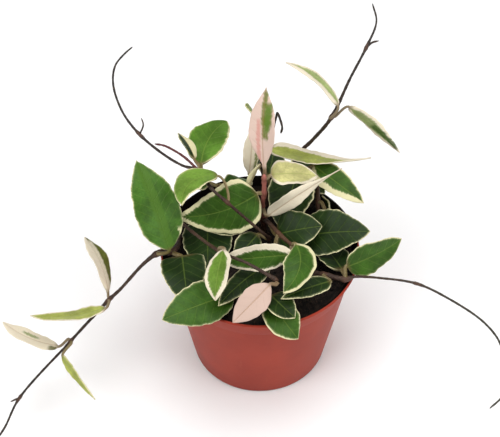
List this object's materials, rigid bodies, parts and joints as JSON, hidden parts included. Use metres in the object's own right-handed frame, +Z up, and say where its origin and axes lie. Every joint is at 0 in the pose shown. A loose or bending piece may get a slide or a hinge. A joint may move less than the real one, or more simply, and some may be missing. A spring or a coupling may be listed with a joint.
{
  "type": "potted hoya plant",
  "caption": "Small potted wax plant with pale-edged leathery leaves, long trailing and rising bare shoots, in a plain tapered plastic nursery pot filled with soil.",
  "frame": {"origin": "centre of the pot's flat underside, on the surface it stands on", "axes": "+Z up along the pot's axis; the camera of the picture looks along +Y from above, with +X to the right"},
  "size_m": [0.2842, 0.1578, 0.1823],
  "materials": {
    "pot": "satin",
    "soil": "matte",
    "stem": "satin",
    "leaf_dark": "satin",
    "leaf_green": "satin",
    "leaf_pale": "satin",
    "leaf_pink": "satin"
  },
  "bodies": {
    "root": {"pot": "pot", "soil": "soil", "crown_stem": "stem", "upper_left_stem": "stem", "upper_right_stem": "stem", "left_stem": "stem", "front_left_stem": "stem", "right_stem": "stem", "front_stem": "stem", "back_stem": "stem", "back_right_stem": "stem", "back_left_stem": "stem", "left_leaf_1": "leaf_green", "trail_leaf_1": "leaf_pale", "trail_leaf_2": "leaf_pale", "trail_leaf_3": "leaf_pale", "trail_leaf_4": "leaf_dark", "upper_left_leaf_1": "leaf_green", "upper_left_leaf_2": "leaf_dark", "upper_left_leaf_3": "leaf_green", "crown_leaf_1": "leaf_pink", "crown_leaf_2": "leaf_pink", "crown_leaf_3": "leaf_pale", "crown_leaf_4": "leaf_pale", "crown_leaf_5": "leaf_green", "crown_leaf_6": "leaf_pink", "crown_leaf_7": "leaf_dark", "crown_leaf_8": "leaf_dark", "crown_leaf_9": "leaf_pale", "crown_leaf_10": "leaf_dark", "crown_leaf_11": "leaf_dark", "crown_leaf_12": "leaf_pale", "front_leaf_1": "leaf_green", "front_leaf_2": "leaf_pale", "front_leaf_3": "leaf_pale", "front_leaf_4": "leaf_pink", "front_leaf_5": "leaf_dark", "front_leaf_6": "leaf_green", "front_leaf_7": "leaf_green", "front_leaf_8": "leaf_dark", "right_leaf_1": "leaf_green", "right_leaf_2": "leaf_dark", "right_leaf_3": "leaf_dark", "right_leaf_4": "leaf_dark", "right_leaf_5": "leaf_dark", "low_left_leaf_1": "leaf_dark", "low_left_leaf_2": "leaf_dark", "upper_right_leaf_1": "leaf_pale", "upper_right_leaf_2": "leaf_green", "back_leaf_1": "leaf_dark", "back_leaf_2": "leaf_green", "back_leaf_3": "leaf_dark", "back_leaf_4": "leaf_dark", "back_leaf_5": "leaf_dark", "back_leaf_6": "leaf_dark", "back_leaf_7": "leaf_dark"}
  },
  "joints": []
}
